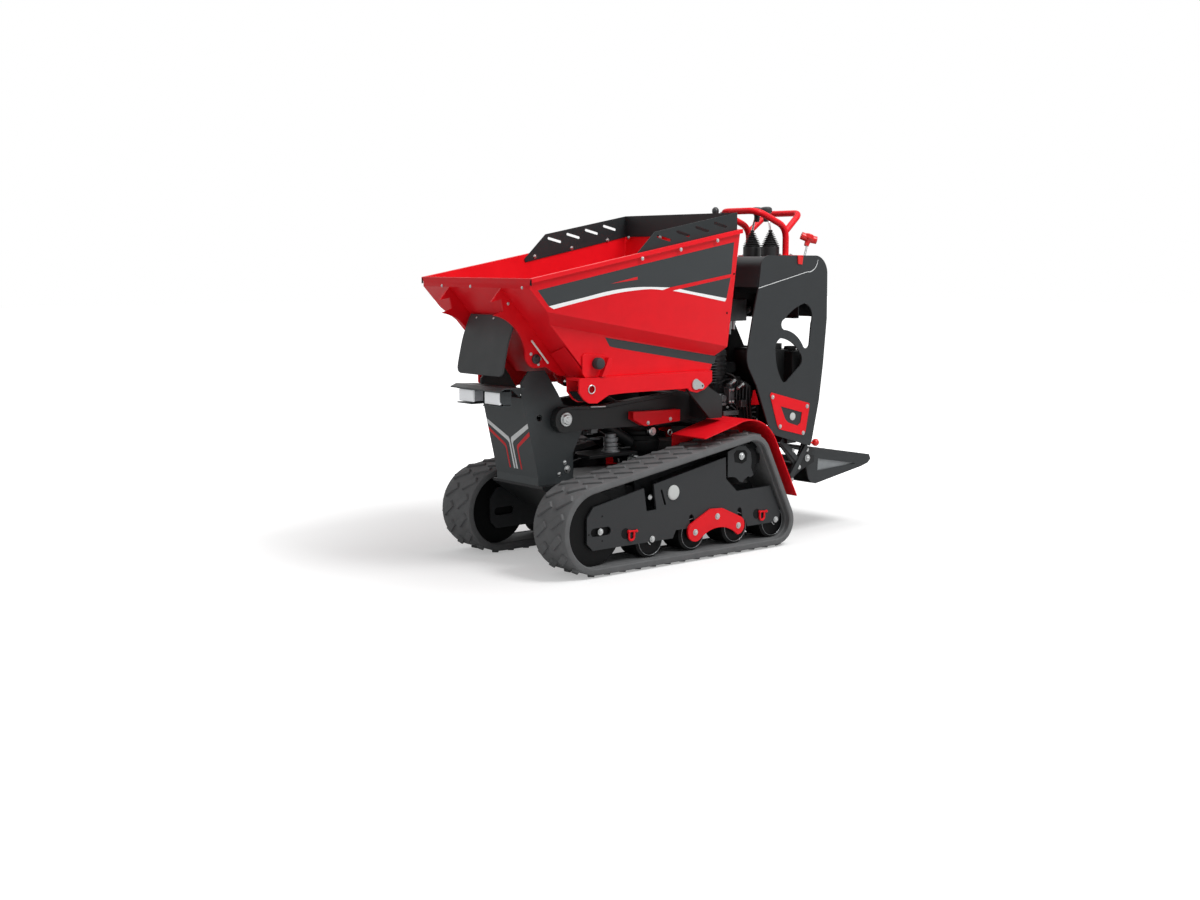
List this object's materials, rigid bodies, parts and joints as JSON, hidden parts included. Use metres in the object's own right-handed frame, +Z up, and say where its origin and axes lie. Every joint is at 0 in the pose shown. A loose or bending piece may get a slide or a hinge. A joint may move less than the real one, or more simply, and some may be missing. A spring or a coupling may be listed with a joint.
{
  "type": "tracked site dumper",
  "caption": "Walk-behind tracked site dumper: a front-tipping skip on high-lift arms, rubber tracks, a rear console with handlebar and a folding rider platform.",
  "frame": {"origin": "on the floor under the track lugs, in the middle of the overall length and width", "axes": "+X forward to the tipping lip of the skip, +Y to the left, +Z up"},
  "size_m": [1.831, 0.75, 1.3053],
  "materials": {
    "red_paint": "gloss powder coat",
    "dark_paint": "satin powder coat",
    "black_paint": "satin black paint",
    "guard_paint": "satin powder coat",
    "track_rubber": "moulded rubber",
    "flap_rubber": "matt sheet rubber",
    "boot_rubber": "ribbed rubber",
    "buffer_rubber": "matt moulded rubber",
    "steel": "zinc plated",
    "chrome_rod": "ground and hard chromed",
    "cast_black": "black enamel",
    "engine_metal": "cast",
    "tank_plastic": "rotomoulded",
    "lamp": "clear lens over white lamps"
  },
  "bodies": {
    "chassis": {"arm_pins": "steel", "chassis_frame": "black_paint", "console_box": "dark_paint", "control_valve": "engine_metal", "engine": "engine_metal", "fuel_tank": "tank_plastic", "handlebar": "red_paint", "lashing_shackles": "red_paint", "left_bogie_plate": "red_paint", "left_console_panel": "dark_paint", "left_mudguard": "red_paint", "left_rollers": "cast_black", "left_sprocket": "cast_black", "left_track": "track_rubber", "left_track_frame": "black_paint", "lever_boots": "boot_rubber", "levers": "steel", "lift_pins": "steel", "panel_trims": "red_paint", "platform_bracket": "black_paint", "right_bogie_plate": "red_paint", "right_console_panel": "dark_paint", "right_mudguard": "red_paint", "right_rollers": "cast_black", "right_sprocket": "cast_black", "right_track": "track_rubber", "right_track_frame": "black_paint", "tower": "dark_paint", "tower_hood": "dark_paint", "work_lamps": "lamp"},
    "lift": {"lift_arms": "dark_paint", "arm_brackets": "red_paint"},
    "skip": {"skip_tub": "red_paint", "skip_rails": "red_paint", "skip_ribs": "red_paint", "rubber_flap": "flap_rubber", "spill_guards": "guard_paint", "skip_bumpers": "buffer_rubber", "skip_pins": "steel"},
    "lift_barrels": {"lift_barrel": "black_paint"},
    "lift_rods": {"lift_rod": "chrome_rod"},
    "tip_barrel": {"tip_barrel": "black_paint"},
    "tip_rod": {"tip_rod": "chrome_rod"},
    "platform": {"platform": "dark_paint"}
  },
  "joints": [
    {"name": "lift_hinge", "type": "hinge", "parent": "chassis", "child": "lift", "pos_m": [0.5985, 0, 0.533], "axis": [0, 1, 0], "range_deg": [0, 100]},
    {"name": "skip_hinge", "type": "hinge", "parent": "lift", "child": "skip", "pos_m": [0.0995, 0, 0.642], "axis": [0, 1, 0], "range_deg": [-27, 0]},
    {"name": "lift_barrel_hinge", "type": "hinge", "parent": "chassis", "child": "lift_barrels", "pos_m": [0.0945, 0, 0.33], "axis": [0, 1, 0], "range_deg": [-4.12, 0]},
    {"name": "lift_rod_slide", "type": "slide", "parent": "lift_barrels", "child": "lift_rods", "axis": [0.8619, 0, 0.507], "range_m": [0, 0.24869]},
    {"name": "tip_barrel_hinge", "type": "hinge", "parent": "lift", "child": "tip_barrel", "pos_m": [0.2345, 0, 0.54], "axis": [0, 1, 0], "range_deg": [-29.85, 0]},
    {"name": "tip_rod_slide", "type": "slide", "parent": "tip_barrel", "child": "tip_rod", "axis": [0.8862, 0, 0.4633], "range_m": [0, 0.07772]},
    {"name": "platform_hinge", "type": "hinge", "parent": "chassis", "child": "platform", "pos_m": [-0.5365, 0, 0.311], "axis": [0, 1, 0], "range_deg": [0, 80]}
  ],
  "couplings": [
    {"joint": "skip_hinge", "follows": "lift_hinge", "ratio": -0.27},
    {"joint": "lift_barrel_hinge", "follows": "lift_hinge", "ratio": -0.04115},
    {"joint": "lift_rod_slide", "follows": "lift_hinge", "m_per_rad": 0.14249},
    {"joint": "tip_barrel_hinge", "follows": "lift_hinge", "ratio": -0.29847},
    {"joint": "tip_rod_slide", "follows": "lift_hinge", "m_per_rad": 0.044532}
  ]
}
